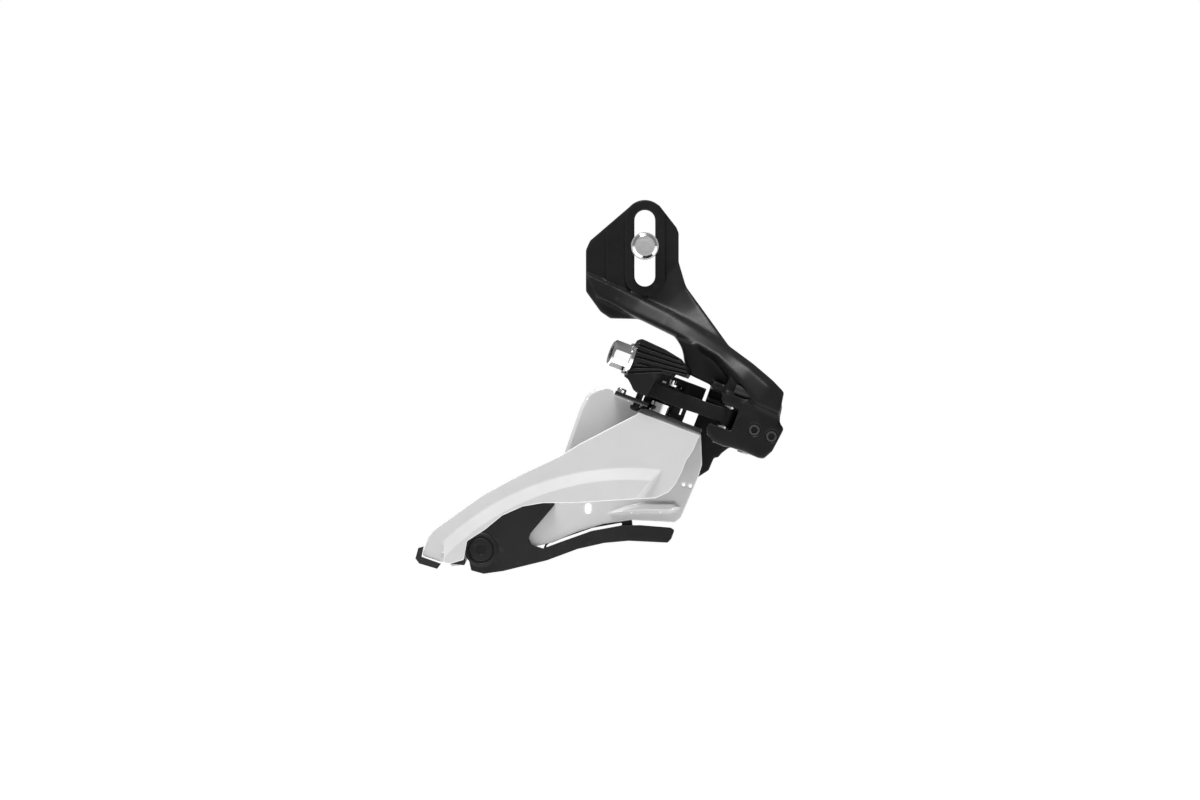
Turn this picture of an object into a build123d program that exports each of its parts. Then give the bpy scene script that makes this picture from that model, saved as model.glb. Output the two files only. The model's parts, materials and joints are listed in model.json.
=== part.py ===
from build123d import *
import os
from math import cos, radians, sin, sqrt

os.makedirs("parts", exist_ok=True)

# Front derailleur, drive side seen along +Y. X forward, Y inboard (toward the frame), Z up, millimetres.
# The origin is the middle of the mounting slot on the mount face.

# Driving dimensions
TILT = 20.7  # lean of the four pivot axes, forward of vertical
LINK_LENGTH = 28.8
REST_ANGLE = -8.0  # links point inboard at rest
PIVOT_STEP_FORWARD = 8.4  # inner pivots ahead of the outer ones
PIVOT_STEP_INBOARD = 10.0
BASE_PIVOT = (26.2, -29.0, -54.0)
PIN_R = 1.1
PIN_RUN = 0.05
PIN_HEAD_R = 1.7
BUSH_R = 1.6
BARREL_R = 2.3
BARREL_HALF = 2.8
FORK_HALF = 3.6
SHEET = 1.0
RISE = 1.7  # how far the outer plate's raised area stands out
OUTER_Y = -30.0  # outboard face of the outer cage plate
INNER_Y = -17.5  # outboard face of the inner cage plate
RING_X = -5.0  # chainring centre
RING_Z = -156.3
SLOT_W = 6.6
SLOT_L = 24.4
PLATE_T = 4.0
PAD_T = 1.0
BOLT_Z = 0.67
BOLT_R = 3.0
SHANK_R = 2.6  # waisted shank inside the slot
FLANGE_H = -6.3  # top of the cage bridge, measured along the pivot axis from the base pivot

AXIS = Vector(sin(radians(TILT)), 0, cos(radians(TILT)))
BACK = Vector(-cos(radians(TILT)), 0, sin(radians(TILT)))
OUT = Vector(0, -1, 0)
LINK_X = LINK_LENGTH * cos(radians(REST_ANGLE))
LINK_Y = LINK_LENGTH * sin(radians(REST_ANGLE))
OUTER_BASE = (0.0, 0.0)
INNER_BASE = (-PIVOT_STEP_FORWARD, -PIVOT_STEP_INBOARD)
OUTER_CAGE = (LINK_X, LINK_Y)
INNER_CAGE = (LINK_X - PIVOT_STEP_FORWARD, LINK_Y - PIVOT_STEP_INBOARD)


def save(node, shape):
    shape.label = node
    export_step(shape, f"parts/{node}.step")


def point(s, t, h):
    """Row-frame point at s rearward, t outboard, h along the pivot axis from the base pivot."""
    return Vector(*BASE_PIVOT) + BACK * s + OUT * t + AXIS * h


def outline(points, radius=0.0):
    face = make_face(Polyline(*points, close=True))
    if radius:
        face = fillet(face.vertices(), radius)
    return face


def slab(points, y0, y1, radius=0.0):
    """Upright XZ outline between two depths."""
    flat = Plane(origin=(0, y0, 0), x_dir=(1, 0, 0), z_dir=(0, -1, 0))
    return extrude(flat * outline(points, radius), amount=y0 - y1)


def side_plane(t, angle=0.0):
    """Plane of the linkage seen from the side: local x rearward, local y along the pivots, normal inboard."""
    back = BACK * cos(radians(angle)) + OUT * sin(radians(angle))
    inboard = BACK * sin(radians(angle)) - OUT * cos(radians(angle))
    return Plane(origin=Vector(*BASE_PIVOT) - inboard * t, x_dir=back, z_dir=inboard)


def link_slab(points, t0, t1, angle=0.0, radius=0.0):
    """Outline in linkage coordinates from depth t1 outboard to depth t0 inboard."""
    return extrude(side_plane(t1, angle) * outline(points, radius), amount=t1 - t0)


def rect(s0, s1, h0, h1):
    return [(s0, h0), (s1, h0), (s1, h1), (s0, h1)]


def pin(spot, r, h0, h1):
    """Cylinder along the pivot axis."""
    plane = Plane(origin=point(spot[0], spot[1], h0), x_dir=BACK, z_dir=AXIS)
    return extrude(plane * Circle(r), amount=h1 - h0)


def tube(spot, r_in, r_out, h0, h1):
    return pin(spot, r_out, h0, h1) - pin(spot, r_in, h0 - 1, h1 + 1)


def station(upper, lower, y_in, y_up, y_low, bevel=0.0):
    """Upright section across the arm: its edges, its depths and its bevelled outboard corners."""
    drop = Vector(lower[0] - upper[0], 0, lower[1] - upper[1])
    share = 0.6 * bevel / drop.length
    top = Vector(upper[0], 0, upper[1])

    def corner(v, y):
        return top + drop * v + Vector(0, y, 0)

    corners = [corner(0, y_in), corner(0, y_up + bevel), corner(share, y_up)]
    corners += [corner(1 - share, y_low), corner(1, y_low + bevel), corner(1, y_in)]
    return Face(Wire.make_polygon(corners, close=True))


def y_cylinder(x, z, r, y0, y1):
    """Cylinder along Y from outboard y0 to inboard y1."""
    plane = Plane(origin=(x, y0, z), x_dir=(1, 0, 0), z_dir=(0, 1, 0))
    return extrude(plane * Circle(r), amount=y1 - y0)


def y_hex(x, z, flats, y0, y1):
    plane = Plane(origin=(x, y0, z), x_dir=(1, 0, 0), z_dir=(0, 1, 0))
    return extrude(plane * RegularPolygon(flats / sqrt(3), 6), amount=y1 - y0)


# ---------------------------------------------------------------- bracket body
PLATE = [
    (-1.5, 15.2), (1.5, 15.2), (4.6, 13.7), (10.1, 6.6), (10.8, 4.9), (10.8, -4.4), (11.7, -8.7),
    (13.4, -12.6), (17.5, -18.3), (14.0, -23.5), (4.0, -25.2), (-2.2, -22.6), (-11.0, -22.4),
    (-14.1, -20.3), (-18.8, -13.8), (-18.8, -0.6), (-17.5, 2.4), (-4.3, 13.7),
]
plate = slab(PLATE, 0, -PLATE_T, 0.9)
plate_step = slab([(-20, 7.5), (-12.5, 7.5), (-12.5, -10.3), (-20, -7.2)], -PLATE_T + 0.8, -PLATE_T - 3)
plate -= plate_step
pad_plane = Plane(origin=(0, 0, 0), x_dir=(0, 0, 1), z_dir=(0, -1, 0))
pad = extrude(pad_plane * SlotOverall(SLOT_L + 6.4, SLOT_W + 6.4), amount=PLATE_T + PAD_T)
slot = extrude(pad_plane.offset(-5) * SlotOverall(SLOT_L, SLOT_W), amount=20)

# Arm: a rib on the plate that turns outboard and widens into the cable housing.
ARM = [
    ((-18.6, -8.1), (-15.4, -15.6), -1.0, -4.9, -6.0, 0.6),
    ((-9.0, -12.2), (-10.0, -18.2), -1.0, -6.0, -7.5, 0.9),
    ((-0.8, -15.9), (-4.8, -21.2), -1.0, -7.5, -9.5, 1.2),
    ((8.0, -20.0), (4.9, -26.0), -1.5, -11.0, -13.5, 1.6),
    ((17.0, -25.0), (13.0, -30.0), -3.0, -17.5, -20.5, 2.0),
    ((26.6, -31.1), (22.0, -35.5), -6.0, -25.5, -28.5, 2.6),
    ((34.4, -36.9), (29.0, -44.0), -10.0, -32.0, -34.0, 3.2),
    ((40.6, -42.2), (34.0, -51.2), -13.0, -35.6, -36.8, 3.8),
    ((44.2, -46.0), (42.3, -54.8), -16.0, -36.6, -37.4, 4.0),
]
arm = loft([station(*row) for row in ARM], ruled=True)
SHOULDER = [
    ((10.8, -4.4), (-0.8, -16.2), -0.5, -4.0, -4.0),
    ((13.2, -12.6), (5.5, -19.5), -0.8, -6.5, -7.5),
    ((17.5, -18.3), (10.5, -23.0), -1.5, -10.0, -11.5),
    ((25.3, -29.2), (18.5, -28.5), -5.0, -20.0, -19.0),
    ((27.4, -32.2), (23.0, -33.0), -6.5, -24.5, -24.5),
]
shoulder = loft([station(*row) for row in SHOULDER], ruled=True)

# The cable runs parallel to the links, in at the arm's front end.
CABLE_H = 9.4
CABLE_T = 3.6
CABLE_SEAT_R = 2.5
LINER_R_IN = 0.9
LINER_R_OUT = 1.6
CABLE_SEAT_END = -8.0
CABLE_MOUTH = -19.0
LINER_END = 1.0
SPRING_TOP = 7.2


def cable_bore(r, s0, s1):
    """Cylinder along the cable line between two places s."""
    plane = Plane(origin=point(s0, CABLE_T, CABLE_H), x_dir=AXIS, z_dir=BACK)
    return extrude(plane * Circle(r), amount=s1 - s0)


crown = link_slab([(-14.4, 4.6), (-14.2, 12.0), (-8.5, 14.2), (4.0, 15.6), (4.0, 4.6)], -13, 1.5)

# Web behind the arch, and the fork: upper lug, lower lug, front block and inboard guard.
WEB = [
    (9.6, -28.4), (11.4, -31.2), (12.2, -33.6), (12.5, -36.4), (14.2, -40.4), (20.9, -43.6), (30.0, -48.0),
    (38.0, -45.0), (30.0, -37.0), (24.0, -32.6), (20.0, -33.0), (14.5, -30.2),
]
web = slab(WEB, -6.5, -22.5)
upper_lug = link_slab(rect(-15.4, 8.3, FORK_HALF, 7.6), -20, 5.2)
upper_lug -= link_slab(rect(3.4, 12, FORK_HALF - 1, 9), -15.2, 9)
upper_tie = link_slab(rect(-15.2, 8.3, 6.9, 9.5), -20, -1.0)
LOWER = [
    (-13.6, -8.6), (-15.4, -8.1), (-17.0, -4.9), (-18.0, 3.0), (-15.9, 4.4), (-15.6, 6.0), (-2.5, 6.4),
    (-2.5, -3.6), (4.6, -3.6), (5.2, -5.4), (4.2, -7.4), (1.4, -8.8), (-2.0, -9.0), (-4.6, -8.5),
    (-9.0, -8.2),
]
front_block = link_slab(LOWER, -4.6, 6.0)
FRONT = [
    (-15.0, -8.4), (-17.0, -4.9), (-18.0, 3.0), (-15.9, 4.4), (-15.6, 6.0), (-12.6, 6.0),
    (-12.6, -8.5),
]
front_wall = link_slab(FRONT, -20, -4.6)
lower_lug = link_slab(rect(-13.0, -4.2, -8.5, -FORK_HALF), -20, -4.6)
guard = slab(
    [
        (21.0, -43.8), (34.0, -46.0), (40.0, -56.0), (36.5, -64.5), (27.6, -63.5), (26.6, -63.7),
        (24.5, -65.3), (23.3, -66.7), (22.0, -66.8), (20.3, -70.8), (15.0, -74.2), (12.8, -70.0),
        (15.6, -56.5), (17.0, -52.9), (19.1, -49.2),
    ],
    -8.6,
    -12.4,
    0.6,
)
body = plate + pad + arm + shoulder + web + crown
body = body + upper_lug + upper_tie + front_block + front_wall + lower_lug + guard
body -= slot
# Room for the links to swing.
body -= link_slab(rect(-2.5, 12, -FORK_HALF, FORK_HALF), -4.6, 20)
body -= link_slab(rect(-12.6, 20, -FORK_HALF, FORK_HALF), -16.3, -4.6)
# Cable bore with a wide seat at the front end.
body -= cable_bore(LINER_R_IN, CABLE_MOUTH, 40.0)
body -= cable_bore(LINER_R_OUT, CABLE_MOUTH, LINER_END)
body -= cable_bore(CABLE_SEAT_R, CABLE_MOUTH, CABLE_SEAT_END)
# Round pocket for the return spring above the inner pivot.
body -= pin(INNER_BASE, 4.2, 3.0, SPRING_TOP)
for spot in (OUTER_BASE, INNER_BASE):
    body -= pin(spot, PIN_R, -8.2, 8.6)
    body -= pin(spot, PIN_HEAD_R, -12.0, -8.2)
body = body.solids().sort_by(SortBy.VOLUME)[-1]

# Limit screws: recessed in the outboard face of the block.
LIMIT_H = -0.7
SCREW_R = 1.5
SCREW_HEAD_R = 1.75
LIMITS = {"low_limit_screw": -9.3, "high_limit_screw": -15.1}
for node, s in LIMITS.items():
    middle = point(s, 0, LIMIT_H)
    face_y = BASE_PIVOT[1] - 6.0
    body -= y_cylinder(middle.X, middle.Z, SCREW_HEAD_R + 0.15, face_y - 2, face_y + 1.6)
    body -= y_cylinder(middle.X, middle.Z, SCREW_R + 0.05, face_y, face_y + 9.0)
    screw = y_cylinder(middle.X, middle.Z, SCREW_HEAD_R, face_y + 0.2, face_y + 1.6 - 0.02)
    screw += y_cylinder(middle.X, middle.Z, SCREW_R, face_y + 1.5, face_y + 8.6)
    screw -= y_hex(middle.X, middle.Z, 2.0, face_y - 1, face_y + 1.2)
    save(node, screw)
mark = point(-2.3 - 2.6, 0, 1.2)
body -= y_cylinder(mark.X - 1.3, mark.Z + 1.6, 0.45, BASE_PIVOT[1] - 7, BASE_PIVOT[1] - 5.2)
for back in (0.0, 1.0, 2.0):
    tick = point(-4.2 - back, 0, -0.6)
    body -= slab(
        [(tick.X - 0.15, tick.Z - 0.8), (tick.X + 0.15, tick.Z - 0.8), (tick.X + 0.55, tick.Z + 0.8),
         (tick.X + 0.25, tick.Z + 0.8)],
        BASE_PIVOT[1] - 5.7,
        BASE_PIVOT[1] - 8,
    )
save("bracket_body", body)

# Cable liner, seated at the bottom of the entry.
liner = cable_bore(LINER_R_OUT, CABLE_SEAT_END, LINER_END) - cable_bore(LINER_R_IN, CABLE_MOUTH, 40.0)
save("cable_liner", liner)

# Base pivot pins, each with a flat head under the lower lug.
for node, spot in (("base_outer_pin", OUTER_BASE), ("base_inner_pin", INNER_BASE)):
    save(node, pin(spot, PIN_R, -8.2, 8.6) + pin(spot, PIN_HEAD_R, -8.9, -8.2))
thrust_washers = []
for spot, h0 in ((OUTER_BASE, BARREL_HALF + 0.3), (OUTER_BASE, -FORK_HALF), (INNER_BASE, -FORK_HALF)):
    thrust_washers.append(tube(spot, PIN_R, 2.2, h0, h0 + 0.5))
save("base_thrust_washers", Compound(children=thrust_washers))

# ---------------------------------------------------------------- mounting bolt
HEAD_FACE = -PLATE_T - PAD_T - 0.3
WASHER_T = 0.9
HEAD_R = 4.0
HEAD_L = 3.0
THREAD_END = 11.0
washer = y_cylinder(0, BOLT_Z, HEAD_R + 0.4, HEAD_FACE - WASHER_T, HEAD_FACE)
washer -= y_cylinder(0, BOLT_Z, SHANK_R + 0.1, HEAD_FACE - 2, 0)
save("mount_washer", washer)
bolt = y_cylinder(0, BOLT_Z, HEAD_R, HEAD_FACE - WASHER_T - HEAD_L, HEAD_FACE - WASHER_T)
bolt = chamfer(bolt.faces().sort_by(Axis.Y)[0].edges(), 0.8)
bolt += y_cylinder(0, BOLT_Z, SHANK_R, HEAD_FACE - WASHER_T - 0.1, 1.0)
bolt += y_cylinder(0, BOLT_Z, BOLT_R, 0.5, THREAD_END)
bolt = chamfer(bolt.faces().sort_by(Axis.Y)[-1].edges(), 0.5)
bolt -= y_hex(0, BOLT_Z, 4.0, HEAD_FACE - WASHER_T - HEAD_L - 1, HEAD_FACE - 1.6)
save("mount_bolt", bolt)

# ---------------------------------------------------------------- outer link
A0 = REST_ANGLE
link = link_slab([
    (0, -2.2), (9.0, -2.2), (17.0, -2.6), (25.6, -2.4), (29.5, -2.75), (29.5, 2.5), (6.1, 2.3),
    (0, 2.8),
],
                 -2.0, 2.0, A0)
link += pin(OUTER_BASE, BARREL_R, -BARREL_HALF, BARREL_HALF)
ARM_SIDE = [
    (16.2, 8.6), (17.0, 9.9), (20.7, 12.2), (26.6, 13.3), (33.6, 13.8), (35.6, 12.9), (36.2, 11.4),
    (35.8, 1.4), (35.2, 0.6), (33.4, 0.3), (32.0, -0.9), (30.6, -2.3), (29.4, -2.75), (25.9, -2.75),
    (25.2, 0.5), (24.6, 5.4), (20.9, 6.0), (20.7, 7.0), (16.5, 7.1),
]
lever = link_slab(ARM_SIDE, -3.0, 6.6, A0)
# Ribs: grooves that run along the lever and draw together toward its front.
RIB_STEP = 1.95
for row in range(6):
    rear_h = 1.6 + RIB_STEP * row
    front_h = 6.2 + 0.55 * RIB_STEP * row
    front_s = 15.0 if row > 1 else 24.0
    groove = [(front_s, front_h), (34.6, rear_h), (34.6, rear_h + 0.75), (front_s, front_h + 0.45)]
    lever -= link_slab(groove, 5.7, 20, A0)
link += lever
CLAMP_TILT = 11.0
clamp_dir = BACK * cos(radians(CLAMP_TILT)) + OUT * sin(radians(CLAMP_TILT))
clamp_seat = point(35.4, -2.4, 6.4)
clamp_plane = Plane(origin=clamp_seat, x_dir=AXIS, z_dir=clamp_dir)
boss = extrude(clamp_plane.offset(-4.5) * Circle(4.4), amount=4.5)
link += boss
link -= extrude(clamp_plane * Rectangle(30, 30), amount=6)
link -= extrude(clamp_plane.offset(-4.6) * Circle(2.5), amount=6)
link -= pin(OUTER_CAGE, BUSH_R, -5, 20)
link -= pin(OUTER_BASE, BUSH_R, -5, 5)
link = link.solids().sort_by(SortBy.VOLUME)[-1]
save("outer_link", link)
save("cable_clamp_washer", extrude(clamp_plane * (Circle(5.1) - Circle(2.5)), amount=1.0))
screw = extrude(clamp_plane.offset(1.0) * RegularPolygon(4.1, 6, major_radius=False), amount=5.6)
cone = extrude(clamp_plane.offset(1.0) * Circle(4.35), amount=5.6)
screw = screw & chamfer(cone.faces().sort_by(Axis(clamp_seat, clamp_dir))[-1].edges(), 0.6)
screw += extrude(clamp_plane.offset(-4.4) * Circle(2.5), amount=5.5)
screw -= extrude(clamp_plane.offset(3.6) * RegularPolygon(2.0, 6, major_radius=False), amount=5)
save("cable_clamp_bolt", screw)
OUTER_BUSHINGS = [
    (OUTER_BASE, -BARREL_HALF, -0.4),
    (OUTER_BASE, 0.4, BARREL_HALF),
    (OUTER_CAGE, -2.7, 1.5),
    (OUTER_CAGE, 8.0, 12.6),
]
outer_bushings = []
for spot, h0, h1 in OUTER_BUSHINGS:
    outer_bushings.append(tube(spot, PIN_R + PIN_RUN, BUSH_R, h0, h1))
save("outer_link_bushings", Compound(children=outer_bushings))

# ---------------------------------------------------------------- inner link
inner_angle = REST_ANGLE
inner_origin = point(INNER_BASE[0], INNER_BASE[1], 0) - Vector(*BASE_PIVOT)


def inner_slab(points, t0, t1):
    return Pos(inner_origin) * link_slab(points, t0, t1, inner_angle)


inner = inner_slab([(0, -1.9), (28.8, -1.9), (28.8, 1.7), (0, 1.9)], -1.7, 1.7)
inner += inner_slab([(18.2, 1.0), (24.2, 1.0), (24.2, 5.8), (23.4, 6.2), (18.2, 6.2)], -1.7, 0.4)
inner += pin(INNER_BASE, BARREL_R, -BARREL_HALF, BARREL_HALF)
inner += pin(INNER_CAGE, BARREL_R, -4.1, 1.7)
inner -= pin(INNER_BASE, BUSH_R, -6, 6)
inner -= pin(INNER_CAGE, BUSH_R, -6, 6)
save("inner_link", inner.solids().sort_by(SortBy.VOLUME)[-1])
inner_bushings = [
    tube(INNER_BASE, PIN_R + PIN_RUN, BUSH_R, -2.8, 2.8),
    tube(INNER_CAGE, PIN_R + PIN_RUN, BUSH_R, -4.1, 1.7),
]
save("inner_link_bushings", Compound(children=inner_bushings))

# ---------------------------------------------------------------- cage carrier and pins
# Depths t of the cage parts, measured outboard from the base pivot.
T_OUTER = -OUTER_Y + BASE_PIVOT[1]
T_INNER = -INNER_Y + BASE_PIVOT[1]
CARRIER_TOP = -4.5
carrier = link_slab(rect(24.9, 36.2, -5.3, CARRIER_TOP), -18.5, -1.2)
carrier += link_slab(rect(13.0, 25.0, FLANGE_H, CARRIER_TOP), -19.2, T_INNER - 0.02)
carrier += link_slab(rect(13.0, 25.0, FLANGE_H, CARRIER_TOP), -13.0, -10.8)
carrier += link_slab(rect(24.7, 27.0, -5.3, 3.1), -19.2, -9.6)
carrier += link_slab(rect(17.3, 27.0, 2.0, 3.1), -19.2, -11.0)
carrier += link_slab([
    (12.9, -2.4), (12.9, 6.2), (25.6, 6.2), (27.0, 5.6), (27.0, -6.3), (16.8, -6.3), (16.8, -2.4),
],
                     -19.7, -18.4)
for s0, s1 in ((12.9, 14.2), (14.8, 17.0)):
    carrier += link_slab(rect(s0, s1, FLANGE_H, -2.4), -15.5, -11.0)
for spot in (OUTER_CAGE, INNER_CAGE):
    carrier -= pin(spot, PIN_R, -9, 9)
save("cage_carrier", carrier)
outer_pin = pin(OUTER_CAGE, PIN_R, -7.0, 12.9) + pin(OUTER_CAGE, 1.7, -8.4, -6.9)
outer_pin = fillet(outer_pin.faces().sort_by(Axis((0, 0, 0), AXIS))[0].edges(), 0.9)
save("cage_outer_pin", outer_pin)
inner_pin = pin(INNER_CAGE, PIN_R, FLANGE_H, 5.0) - tube(INNER_CAGE, 0.8, 3, 3.2, 3.8)
save("cage_inner_pin", inner_pin)
pin_clip = tube(INNER_CAGE, 0.8, 3.3, 3.2, 3.8)
mouth = rect(INNER_CAGE[0] + 0.7, INNER_CAGE[0] + 5, 3, 4)
pin_clip -= link_slab(mouth, INNER_CAGE[1] - 0.8, INNER_CAGE[1] + 0.8)
save("cage_pin_clip", pin_clip)
collar = pin((20.7, -6.2), 3.65, FLANGE_H, -3.0)
save("bridge_collar", chamfer(collar.edges().group_by(Axis((0, 0, 0), AXIS))[-1], 0.25))

# ---------------------------------------------------------------- outer cage plate
OUTER_EDGE = [
    (-1.7, -52.4), (17.3, -59.6), (15.3, -64.3), (13.1, -67.6), (11.7, -71.2), (9.8, -74.9),
    (7.6, -77.6), (3.3, -79.6), (-8.8, -80.2), (-22.7, -81.1), (-32.4, -81.1), (-38.9, -82.2),
    (-45.4, -85.1), (-50.6, -89.4), (-56.5, -93.2), (-57.5, -99.1), (-62.4, -100.5), (-70.7, -97.8),
    (-69.7, -94.4), (-68.8, -91.6), (-66.8, -89.4), (-51.9, -78.7), (-45.4, -75.1), (-38.9, -71.7),
    (-26.8, -66.0), (-20.6, -62.2),
]


def ring_point(radius, x):
    """Point at X on a circle about the chainring centre, above it."""
    return (x, RING_Z + sqrt(radius**2 - (x - RING_X) ** 2))


def band_face(y, r_top, x0, x1, end, low):
    """Raised area of the outer plate: arc on top, slanted front end, open past the lower edge."""
    a = ring_point(r_top, x0)
    b = ring_point(r_top, (x0 + x1) / 2)
    c = ring_point(r_top, x1)
    plane = Plane(origin=(0, y, 0), x_dir=(1, 0, 0), z_dir=(0, -1, 0))
    edges = ThreePointArc(a, b, c) + Polyline(c, end, (end[0], low), (x0, low), a)
    return plane * make_face(edges.edges())


outer_sheet = slab(OUTER_EDGE, OUTER_Y + SHEET, OUTER_Y, 0.7)
prism = slab(OUTER_EDGE, OUTER_Y + SHEET, OUTER_Y - 6, 0.7)


def raised(y):
    low = band_face(y, 86.4, -64.0, 5.6, (-0.6, -79.8), -110)
    high = band_face(y - RISE, 82.6, -64.0, 2.2, (-3.4, -79.8), -110)
    return loft([low, high], ruled=True)


outer_sheet = outer_sheet + (raised(OUTER_Y) & prism)
outer_sheet -= raised(OUTER_Y + SHEET)
# Sloped top flange, in the plane across the links.
flange_plane = Plane(origin=point(6.2, 0, 0), x_dir=OUT, z_dir=BACK)
FLANGE = [
    (T_OUTER, -9.2), (T_OUTER, -8.5), (-5.2, FLANGE_H), (-11.5, FLANGE_H), (-11.5, FLANGE_H - SHEET),
    (-5.4, FLANGE_H - SHEET), (T_OUTER - SHEET, -9.4),
]
bridge = extrude(flange_plane * outline(FLANGE), amount=21.0)
outer_sheet += bridge - pin(OUTER_CAGE, 2.1, -12, 0)
SPACER = (-59.6, -97.4)
TAIL_RIVET_R = 1.5
TAIL_RIVET_END = OUTER_Y - RISE + 0.5
outer_sheet -= y_cylinder(*SPACER, TAIL_RIVET_R, TAIL_RIVET_END, 0)
save("outer_cage_plate", outer_sheet.solids().sort_by(SortBy.VOLUME)[-1])

# ---------------------------------------------------------------- inner cage plate
INNER_EDGE = [
    (-25.9, -66.0), (-20.6, -50.9), (-18.5, -46.8), (-17.4, -45.7), (-15.3, -44.6), (-13.0, -44.0),
    (-11.6, -44.5), (-4.6, -48.2), (5.0, -53.6), (17.8, -59.2), (18.2, -68.9), (16.8, -73.4),
    (11.4, -86.0), (9.6, -87.4), (4.0, -86.9), (-4.4, -86.6), (-13.0, -87.8), (-21.4, -90.3),
    (-29.2, -93.7), (-45.0, -97.3), (-56.4, -98.9), (-57.4, -101.0), (-61.7, -101.6), (-62.6, -99.4),
    (-65.0, -96.0), (-64.0, -91.0), (-51.0, -81.4), (-38.9, -74.4),
]
inner_sheet = slab(INNER_EDGE, INNER_Y + SHEET, INNER_Y)
# Rolled rim of the rear lobe: sloped on the outboard side, thicker on the inboard side.
ROLL = 0.85
lobe = []
for edge in inner_sheet.faces().sort_by(Axis.Y)[0].edges():
    middle = edge.center()
    if middle.X < -13 and middle.Z > -72:
        lobe.append(edge)
inner_sheet = chamfer(lobe, ROLL)
# Ridge that pushes the chain, pressed outboard near the lower edge.
RIDGE = [
    (-12.0, -84.6), (-6.0, -82.2), (0.0, -80.6), (9.6, -80.7), (11.4, -82.6), (8.0, -84.3),
    (-1.0, -84.2),
]
RIDGE_TOP = [
    (-9.6, -84.1), (-5.4, -82.9), (0.2, -81.5), (9.0, -81.6), (9.9, -82.6), (7.6, -83.4),
    (-1.0, -83.3),
]


def ridge(y):
    low = Plane(origin=(0, y, 0), x_dir=(1, 0, 0), z_dir=(0, -1, 0)) * outline(RIDGE)
    high = Plane(origin=(0, y - 1.2, 0), x_dir=(1, 0, 0), z_dir=(0, -1, 0)) * outline(RIDGE_TOP)
    return loft([low, high], ruled=True)


inner_sheet += ridge(INNER_Y)
inner_sheet -= ridge(INNER_Y + SHEET)
inner_sheet -= slab([(-19.2, -81.2), (-17.0, -81.2), (-17.0, -84.4), (-19.2, -84.4)], -10, -25, 1.0)
for x, z in ((12.3, -75.4), (14.4, -75.8)):
    inner_sheet -= y_cylinder(x, z, 0.6, -25, -10)
RIM = [
    (-25.9, -66.0), (-20.6, -50.9), (-18.5, -46.8), (-15.3, -44.6), (-13.0, -44.0), (-11.6, -44.6),
    (-13.0, -45.3), (-15.0, -46.0), (-17.2, -47.8), (-19.2, -51.4), (-24.4, -66.5),
]
inner_sheet += slab(RIM, INNER_Y + SHEET + 0.9, INNER_Y + ROLL, 0.25)
# Top flanges under the bridge and under the carrier.
under = link_slab(rect(7.0, 24.4, -9.0, FLANGE_H - SHEET), T_INNER - SHEET, T_INNER)
under += link_slab(rect(7.0, 24.4, FLANGE_H - 2 * SHEET, FLANGE_H - SHEET), T_INNER - SHEET, -5.9)
over = link_slab(rect(24.6, 36.2, -9.0, -5.3), T_INNER - SHEET, T_INNER)
over += link_slab(rect(25.05, 36.2, -5.9, -5.3), T_INNER - SHEET, -1.2)
over -= link_slab(rect(24.0, 25.05, FLANGE_H - 0.1, -4.0), -20, 2)
inner_sheet = inner_sheet + under + over
inner_sheet -= pin(OUTER_CAGE, PIN_R, -12, 0)
inner_sheet -= link_slab(rect(24.6, 37.0, -5.3, 1), -20, 2)
inner_sheet -= link_slab(rect(6.0, 24.6, FLANGE_H - SHEET, 5), -16, T_OUTER)

# Tail: bracket, spacer, clip and rivet between the two plates.
TAIL_Y = INNER_Y + SHEET
inner_sheet -= y_cylinder(*SPACER, TAIL_RIVET_R, -30, -5)
SKID_RIVET = (-52.2, -96.0)
inner_sheet -= y_cylinder(*SKID_RIVET, 1.6, -30, -5)
save("inner_cage_plate", inner_sheet.solids().sort_by(SortBy.VOLUME)[-1])
spacer = y_cylinder(*SPACER, 2.2, OUTER_Y + SHEET, INNER_Y) - y_cylinder(*SPACER, TAIL_RIVET_R, -40, 0)
save("tail_spacer", spacer)
tail_rivet = y_cylinder(*SPACER, TAIL_RIVET_R, TAIL_RIVET_END, TAIL_Y + 0.1)
tail_rivet += y_cylinder(*SPACER, 2.3, TAIL_Y, TAIL_Y + 0.8)
tail_rivet = tail_rivet.solids().sort_by(SortBy.VOLUME)[-1]
save("tail_rivet", tail_rivet)
TAIL_BRACKET = [
    (-58.0, -96.4), (-57.5, -98.2), (-56.9, -99.7), (-57.5, -100.9), (-62.2, -100.3), (-62.6, -97.2),
]
bracket = slab(TAIL_BRACKET, INNER_Y, OUTER_Y + 3.0) - y_cylinder(*SPACER, 2.25, -40, 0)
save("tail_bracket", bracket)
TAIL_CLIP = [
    (-72.0, -95.4), (-70.3, -94.9), (-71.0, -98.2), (-64.8, -100.4), (-66.0, -102.0), (-71.7, -100.3), (-72.9, -98.7),
]
save("tail_clip", slab(TAIL_CLIP, OUTER_Y + 6.5, OUTER_Y - 0.9))

# ---------------------------------------------------------------- skid plate
SKID = [
    (-57.2, -94.6), (-54.5, -90.6), (-48.0, -85.0), (-40.0, -80.4), (-33.0, -77.9), (-28.5, -81.5),
    (-36.3, -90.7), (-37.0, -92.3), (-36.0, -94.4), (-32.4, -95.6), (-25.9, -93.2), (-16.9, -90.0),
    (-7.5, -88.3), (-1.6, -88.2), (8.2, -89.0), (9.4, -89.8), (8.4, -92.5), (7.2, -93.8),
    (-5.2, -93.2), (-13.0, -93.9), (-21.4, -95.8), (-31.1, -99.4), (-45.0, -102.8), (-51.3, -103.7),
    (-55.3, -102.6), (-55.8, -100.2),
]
skid = slab(SKID, INNER_Y, INNER_Y - 1.8, 0.35)
skid += y_cylinder(*SKID_RIVET, 5.2, INNER_Y - 2.6, INNER_Y)
skid -= y_cylinder(*SKID_RIVET, 4.3, INNER_Y - 3, INNER_Y - 2.1) - y_cylinder(*SKID_RIVET, 3.7, -40, 0)
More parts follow.
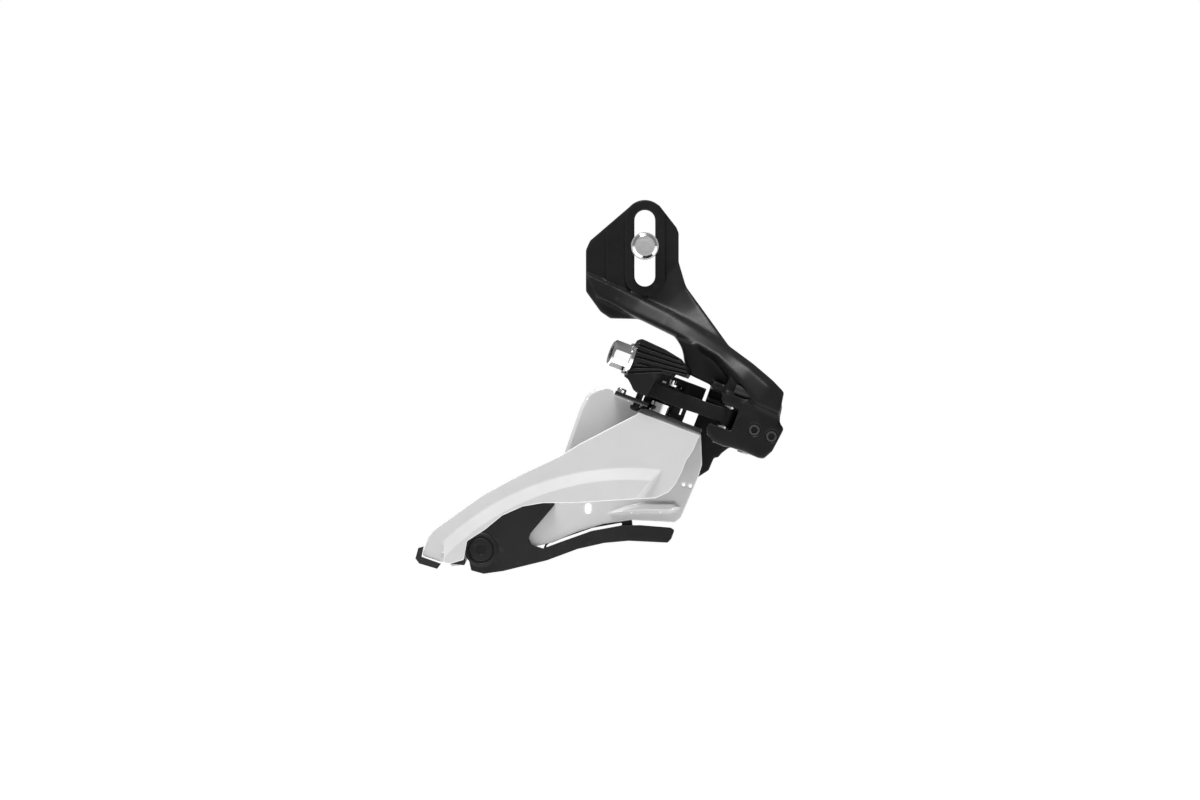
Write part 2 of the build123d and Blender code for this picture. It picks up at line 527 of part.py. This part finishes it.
BOW = [
    (-32.4, -95.6), (-25.9, -93.2), (-16.9, -90.0), (-7.5, -88.3), (-1.6, -88.2), (8.2, -89.0),
    (9.4, -89.8), (8.4, -92.5), (7.2, -93.8), (-5.2, -93.2), (-13.0, -93.9), (-21.4, -95.8),
    (-31.1, -99.4),
]
skid += slab(BOW, INNER_Y + 2.4, INNER_Y - 1.8, 0.35)
skid += slab([(-7.3, -87.0), (-4.0, -87.0), (-4.0, -88.8), (-7.3, -88.8)], INNER_Y + 2.4, INNER_Y + SHEET)
# Lip behind the lower edge of the inner plate.
LIP = [
    (-31.0, -92.6), (-21.4, -88.6), (-13.0, -86.4), (-4.2, -85.4), (-4.2, -87.4), (-7.4, -87.45), (-16.7, -89.1),
    (-25.6, -92.2), (-30.6, -94.1), (-32.4, -95.8),
]
skid += slab(LIP, INNER_Y + SHEET + 0.9, INNER_Y + SHEET)
skid -= y_cylinder(*SKID_RIVET, 1.6, -40, 0)
save("skid_plate", skid.solids().sort_by(SortBy.VOLUME)[-1])
stud = y_cylinder(*SKID_RIVET, 1.6, INNER_Y - 2.5, TAIL_Y)
stud += y_cylinder(*SKID_RIVET, 3.0, TAIL_Y, TAIL_Y + 0.9)
save("skid_plate_rivet", stud)

# Rivet heads on top of the carrier.
rivets = []
for spot in ((34.4, -7.5), (34.4, -15.2)):
    rivet = pin(spot, 1.5, CARRIER_TOP, -3.1)
    rivets.append(fillet(rivet.edges().group_by(Axis((0, 0, 0), AXIS))[-1], 0.5))
save("carrier_rivets", Compound(children=rivets))

# ---------------------------------------------------------------- return spring
COIL_R = 3.3
WIRE_R = 0.4
coil = Helix(pitch=0.9, height=2.7, radius=COIL_R)
profile = Plane(origin=coil @ 0, z_dir=coil % 0) * Circle(WIRE_R)
coil_solid = sweep(profile, path=coil, is_frenet=True)
spring_plane = Plane(origin=point(INNER_BASE[0], INNER_BASE[1], 3.8), x_dir=BACK, z_dir=AXIS)
save("return_spring", spring_plane * coil_solid)
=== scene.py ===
import json
import math
import bpy
import bmesh
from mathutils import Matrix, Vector


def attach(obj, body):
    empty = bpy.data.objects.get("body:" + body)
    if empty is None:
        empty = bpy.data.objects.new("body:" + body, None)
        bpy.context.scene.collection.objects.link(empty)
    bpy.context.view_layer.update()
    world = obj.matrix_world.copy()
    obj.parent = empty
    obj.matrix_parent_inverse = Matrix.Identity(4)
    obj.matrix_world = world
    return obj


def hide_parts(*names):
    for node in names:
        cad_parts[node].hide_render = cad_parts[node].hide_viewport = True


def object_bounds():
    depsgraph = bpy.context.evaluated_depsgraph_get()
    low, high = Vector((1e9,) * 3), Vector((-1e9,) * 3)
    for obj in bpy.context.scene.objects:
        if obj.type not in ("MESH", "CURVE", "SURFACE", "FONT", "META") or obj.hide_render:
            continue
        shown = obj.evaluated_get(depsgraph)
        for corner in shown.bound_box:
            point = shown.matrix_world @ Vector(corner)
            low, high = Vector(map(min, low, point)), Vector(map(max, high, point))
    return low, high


# Front derailleur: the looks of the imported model. Metres, X forward, Y inboard, Z up.

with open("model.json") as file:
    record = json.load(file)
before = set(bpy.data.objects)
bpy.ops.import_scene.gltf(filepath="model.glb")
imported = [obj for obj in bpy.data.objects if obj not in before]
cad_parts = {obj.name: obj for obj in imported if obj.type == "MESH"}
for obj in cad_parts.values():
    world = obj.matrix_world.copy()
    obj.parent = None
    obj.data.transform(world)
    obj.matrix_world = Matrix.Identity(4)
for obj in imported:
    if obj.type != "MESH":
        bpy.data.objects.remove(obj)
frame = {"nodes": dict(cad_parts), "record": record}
CAD_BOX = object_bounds()
NODES = frame["nodes"]
SWING = next(joint for joint in frame["record"]["behaviour"]["joints"] if joint["name"] == "cage_swing")
PIVOT = Vector(SWING["pos_m"])
MM = 0.001


# ---------------------------------------------------------------- material nodes
def new_material(name, rough, metallic=0.0, specular=0.5):
    material = bpy.data.materials.new(name)
    material.use_nodes = True
    tree = material.node_tree
    shader = tree.nodes["Principled BSDF"]
    shader.inputs["Roughness"].default_value = rough
    shader.inputs["Metallic"].default_value = metallic
    shader.inputs["Specular IOR Level"].default_value = specular
    return material, tree, shader


def noise_node(tree, scale, detail=4.0):
    coords = tree.nodes.new("ShaderNodeTexCoord")
    texture = tree.nodes.new("ShaderNodeTexNoise")
    texture.inputs["Scale"].default_value = scale
    texture.inputs["Detail"].default_value = detail
    texture.inputs["Roughness"].default_value = 0.55
    tree.links.new(coords.outputs["Object"], texture.inputs["Vector"])
    return texture.outputs["Fac"]


def ramp(tree, value, stops):
    node = tree.nodes.new("ShaderNodeValToRGB")
    for element, (place, color) in zip(node.color_ramp.elements, stops):
        element.position = place
        element.color = (*color, 1.0)
    tree.links.new(value, node.inputs["Fac"])
    return node.outputs["Color"]


def grey(level):
    return (level, level, level)


def map_range(tree, value, low, high):
    node = tree.nodes.new("ShaderNodeMapRange")
    node.inputs["To Min"].default_value = low
    node.inputs["To Max"].default_value = high
    tree.links.new(value, node.inputs["Value"])
    return node.outputs["Result"]


def bump(tree, shader, height, distance):
    node = tree.nodes.new("ShaderNodeBump")
    node.inputs["Distance"].default_value = distance
    tree.links.new(height, node.inputs["Height"])
    tree.links.new(node.outputs["Normal"], shader.inputs["Normal"])


def edge_highlight_mask(tree):
    """High on convex edges: where the colour is lightened as a painted highlight."""
    geometry = tree.nodes.new("ShaderNodeNewGeometry")
    return ramp(tree, geometry.outputs["Pointiness"], [(0.51, grey(0.0)), (0.57, grey(1.0))])


def mix_color(tree, factor, source, color, blend="MIX"):
    node = tree.nodes.new("ShaderNodeMix")
    node.data_type = "RGBA"
    node.blend_type = blend
    inputs = [socket for socket in node.inputs if socket.type == "RGBA"]
    outputs = [socket for socket in node.outputs if socket.type == "RGBA"]
    tree.links.new(factor, node.inputs["Factor"])
    tree.links.new(source, inputs[0])
    inputs[1].default_value = (*color, 1.0)
    return outputs[0]


# ---------------------------------------------------------------- materials
def coated_metal(name, dark, light, rough, grain_scale, grain_depth, edge_highlight=None, specular=0.13):
    """Coating over metal: mottled tone, fine orange peel and a painted highlight on convex edges."""
    material, tree, shader = new_material(name, rough, specular=specular)
    color = ramp(tree, noise_node(tree, 120.0, 5.0), [(0.35, grey(dark)), (0.65, grey(light))])
    if edge_highlight:
        # Painted highlight: convex edges lightened towards this grey.
        color = mix_color(tree, edge_highlight_mask(tree), color, grey(edge_highlight))
    uneven = map_range(tree, noise_node(tree, 260.0), rough - 0.06, rough + 0.08)
    tree.links.new(color, shader.inputs["Base Color"])
    tree.links.new(uneven, shader.inputs["Roughness"])
    bump(tree, shader, noise_node(tree, grain_scale, 3.0), grain_depth)
    return material


def plated_metal(name, dark, light, rough):
    """Bright plating: faint clouding and a fine uneven gloss."""
    material, tree, shader = new_material(name, rough, 1.0)
    color = ramp(tree, noise_node(tree, 160.0, 3.0), [(0.3, grey(dark)), (0.7, grey(light))])
    brushed = noise_node(tree, 1600.0, 2.0)
    tree.links.new(color, shader.inputs["Base Color"])
    tree.links.new(map_range(tree, brushed, rough - 0.04, rough + 0.06), shader.inputs["Roughness"])
    bump(tree, shader, brushed, 0.001 * MM)
    return material


def moulded_plastic(name, dark, light, rough, edge_highlight):
    """Matt plastic: fine spark-eroded grain and slightly lighter edges as a painted highlight."""
    material, tree, shader = new_material(name, rough, specular=0.22)
    color = ramp(tree, noise_node(tree, 90.0), [(0.35, grey(dark)), (0.65, grey(light))])
    # Painted highlight: convex edges lightened towards this grey.
    color = mix_color(tree, edge_highlight_mask(tree), color, grey(edge_highlight))
    uneven = map_range(tree, noise_node(tree, 400.0), rough - 0.05, rough + 0.08)
    tree.links.new(color, shader.inputs["Base Color"])
    tree.links.new(uneven, shader.inputs["Roughness"])
    bump(tree, shader, noise_node(tree, 2200.0, 2.0), 0.02 * MM)
    return material


def paint_shade_where(material, limits, share):
    """Painted shade: darker base colour where every limit holds: (vector, axis, comparison, value) on
    the normal or the place.
    """
    tree = material.node_tree
    shader = tree.nodes["Principled BSDF"]
    source = shader.inputs["Base Color"].links[0].from_socket
    mask = None
    for vector, axis, comparison, value in limits:
        node_type = "ShaderNodeNewGeometry" if vector == "Normal" else "ShaderNodeTexCoord"
        split = tree.nodes.new("ShaderNodeSeparateXYZ")
        tree.links.new(tree.nodes.new(node_type).outputs[vector], split.inputs[0])
        test = tree.nodes.new("ShaderNodeMath")
        test.operation = comparison
        test.inputs[1].default_value = value
        tree.links.new(split.outputs[axis], test.inputs[0])
        if mask is None:
            mask = test.outputs[0]
            continue
        both = tree.nodes.new("ShaderNodeMath")
        both.operation = "MULTIPLY"
        tree.links.new(mask, both.inputs[0])
        tree.links.new(test.outputs[0], both.inputs[1])
        mask = both.outputs[0]
    # Painted shade: the base colour multiplied down inside the mask.
    color = mix_color(tree, mask, source, grey(share), "MULTIPLY")
    tree.links.new(color, shader.inputs["Base Color"])


# Each finish: its maker, dark and light tone, roughness, then what else that maker takes.
FINISHES = {
    "black_cast": (coated_metal, 0.007, 0.010, 0.38, 1100.0, 0.012 * MM, 0.014, 0.10),
    "black_link": (coated_metal, 0.005, 0.008, 0.45, 1100.0, 0.012 * MM, 0.012),
    "black_sheet": (coated_metal, 0.006, 0.009, 0.40, 800.0, 0.008 * MM, 0.014),
    "black_pin": (coated_metal, 0.006, 0.010, 0.35, 600.0, 0.006 * MM),
    "black_screw": (coated_metal, 0.010, 0.016, 0.35, 600.0, 0.006 * MM, 0.04),
    "black_plastic": (moulded_plastic, 0.006, 0.009, 0.50, 0.014),
    "cage_grey": (coated_metal, 0.445, 0.465, 0.34, 1400.0, 0.003 * MM, 0.74, 0.4),
    "silver": (plated_metal, 0.80, 0.86, 0.14),
    "steel": (plated_metal, 0.45, 0.55, 0.30),
}
MATERIALS = {slot: make(slot, *settings) for slot, (make, *settings) in FINISHES.items()}

# Painted shade: the folds at the top of the cage lie under the black carrier and look darker, so their
# colour is darkened here.
OUTER_FOLD_SHADE = [("Normal", 2, "GREATER_THAN", 0.6), ("Object", 0, "GREATER_THAN", -4 * MM),
              ("Object", 2, "GREATER_THAN", -62 * MM)]
INNER_FOLD_SHADE = [("Object", 1, "LESS_THAN", -19.5 * MM), ("Object", 2, "GREATER_THAN", -51.2 * MM)]
paint_shade_where(MATERIALS["cage_grey"], OUTER_FOLD_SHADE, 0.6)
paint_shade_where(MATERIALS["cage_grey"], INNER_FOLD_SHADE, 0.12)

for part in frame["record"]["subparts"]:
    for material_slot in NODES[part["node"]].material_slots:
        material_slot.material = MATERIALS[part["material_slot"]]


# ---------------------------------------------------------------- smooth castings and sheet parts
def bake(piece):
    """Fix the modifiers of a piece into its mesh."""
    evaluated = piece.evaluated_get(bpy.context.evaluated_depsgraph_get())
    mesh = bpy.data.meshes.new_from_object(evaluated)
    piece.modifiers.clear()
    piece.data = mesh
    for polygon in mesh.polygons:
        polygon.use_smooth = True


def add_smoothing(piece, steps):
    smooth = piece.modifiers.new("smooth", "SMOOTH")
    smooth.factor = 0.5
    smooth.iterations = steps
    return smooth


def soften(piece, softness, steps):
    """Round the piece off where softness(x, y, z) is high."""
    group = piece.vertex_groups.new(name="soft")
    for vertex in piece.data.vertices:
        weight = min(1.0, max(0.0, softness(*vertex.co)))
        if weight:
            group.add([vertex.index], weight, "REPLACE")
    add_smoothing(piece, steps).vertex_group = group.name
    bake(piece)
    piece.vertex_groups.clear()


def remeshed(name, node, body, slot, voxel, steps, keep=1.0, softness=None, soft_steps=0):
    """One closed skin over a CAD node with rounded edges; keep is the share of its faces that stay."""
    piece = bpy.data.objects.new(name, NODES[node].data.copy())
    bpy.context.scene.collection.objects.link(piece)
    piece.data.materials.clear()
    piece.data.materials.append(MATERIALS[slot])
    remesh = piece.modifiers.new("remesh", "REMESH")
    remesh.mode = "VOXEL"
    remesh.voxel_size = voxel
    add_smoothing(piece, steps)
    bake(piece)
    if softness:
        soften(piece, softness, soft_steps)
    if keep < 1.0:
        piece.modifiers.new("thin", "DECIMATE").ratio = keep
        bake(piece)
    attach(piece, body)
    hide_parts(node)


ARM_TOP = -12 * MM  # where the arm leaves the slotted plate
FORK_TOP_X = 26 * MM  # a point on the fork's top, which slopes down forward
FORK_TOP_Z = -53.5 * MM
FORK_SLOPE = 0.38
LEAN_X = 0.353  # direction of the pivot axis
LEAN_Z = 0.935
BLOCK_BOTTOM = -5.2 * MM  # along the pivot axis from the base pivot
INBOARD_LIMIT = -3 * MM
BLOCK_INBOARD = -30 * MM


def arm_softness(x, y, z):
    """Full on the arm below the plate and along the bottom of the screw block, none elsewhere."""
    if y > INBOARD_LIMIT:
        return 0.0
    below_plate = (ARM_TOP - z) / (6 * MM)
    above_fork = (z - FORK_TOP_Z + FORK_SLOPE * (x - FORK_TOP_X)) / (4 * MM)
    height = LEAN_X * (x - PIVOT.x) + LEAN_Z * (z - PIVOT.z)
    under_block = (BLOCK_BOTTOM - height) / (2 * MM) if y < BLOCK_INBOARD else 0.0
    return max(min(below_plate, above_fork), under_block)


remeshed("bracket_casting", "bracket_body", "base", "black_cast", 0.3 * MM, 6,
         keep=0.5, softness=arm_softness, soft_steps=50)
remeshed("outer_link_casting", "outer_link", "outer_link", "black_link", 0.16 * MM, 4, keep=0.5)
remeshed("outer_plate_pressing", "outer_cage_plate", "cage", "cage_grey", 0.22 * MM, 6)
remeshed("inner_plate_pressing", "inner_cage_plate", "cage", "cage_grey", 0.22 * MM, 5)
remeshed("skid_moulding", "skid_plate", "cage", "black_plastic", 0.18 * MM, 5, keep=0.5)


# ---------------------------------------------------------------- floor, light and camera
FLOOR_Z = CAD_BOX[0][2] - 200 * MM
FLOOR_HALF = 40.0


def lay_floor():
    """Pale ground with a faint mottle and a glow of its own, so it meets the background unseen."""
    mesh = bpy.data.meshes.new("floor")
    corners = [(-1, -1), (1, -1), (1, 1), (-1, 1)]
    bm = bmesh.new()
    bm.faces.new([bm.verts.new((x * FLOOR_HALF, y * FLOOR_HALF, FLOOR_Z)) for x, y in corners])
    bm.to_mesh(mesh)
    bm.free()
    material, tree, shader = new_material("floor_white", 0.9, specular=0.1)
    tone = ramp(tree, noise_node(tree, 3.0), [(0.3, grey(0.93)), (0.7, grey(0.95))])
    tree.links.new(tone, shader.inputs["Base Color"])
    shader.inputs["Emission Color"].default_value = (1.0, 1.0, 1.0, 1.0)
    shader.inputs["Emission Strength"].default_value = 0.8
    mesh.materials.append(material)
    floor = bpy.data.objects.new("floor", mesh)
    bpy.context.scene.collection.objects.link(floor)


def light_world(on_object, on_camera):
    """White surroundings that light the object less than the camera sees."""
    world = bpy.data.worlds.new("studio")
    world.use_nodes = True
    tree = world.node_tree
    background = tree.nodes["Background"]
    background.inputs["Color"].default_value = (1.0, 1.0, 1.0, 1.0)
    rays = tree.nodes.new("ShaderNodeLightPath")
    strength = map_range(tree, rays.outputs["Is Camera Ray"], on_object, on_camera)
    tree.links.new(strength, background.inputs["Strength"])
    bpy.context.scene.world = world


AIM = Vector((-14.3 * MM, -20 * MM, -48.4 * MM))  # middle of the view


def area_light(name, place, size, power):
    light = bpy.data.lights.new(name, "AREA")
    light.shape = "RECTANGLE"
    light.size, light.size_y = size
    light.energy = power
    lamp = bpy.data.objects.new(name, light)
    lamp.location = place
    lamp.rotation_euler = (AIM - Vector(place)).to_track_quat("-Z", "Y").to_euler()
    bpy.context.scene.collection.objects.link(lamp)


lay_floor()
light_world(on_object=0.22, on_camera=1.0)
area_light("key", (-0.5, -1.5, 0.9), (0.9, 0.9), 3.0)
area_light("top", (-0.15, -0.25, 1.1), (0.6, 0.3), 26.0)
bpy.context.scene.view_settings.view_transform = "Standard"

DISTANCE = 6.0
FRAME_WIDTH = 1200 / 3.15 * MM  # image width over its scale, on the cage's outboard side
CAGE_Y = -30 * MM
camera_data = bpy.data.cameras.new("camera")
camera_data.sensor_width = 36.0
camera_data.lens = camera_data.sensor_width * (DISTANCE + CAGE_Y) / FRAME_WIDTH
camera = bpy.data.objects.new("camera", camera_data)
camera.location = (AIM.x, -DISTANCE, AIM.z)
camera.rotation_euler = (math.pi / 2, 0, 0)
bpy.context.scene.collection.objects.link(camera)
bpy.context.scene.camera = camera
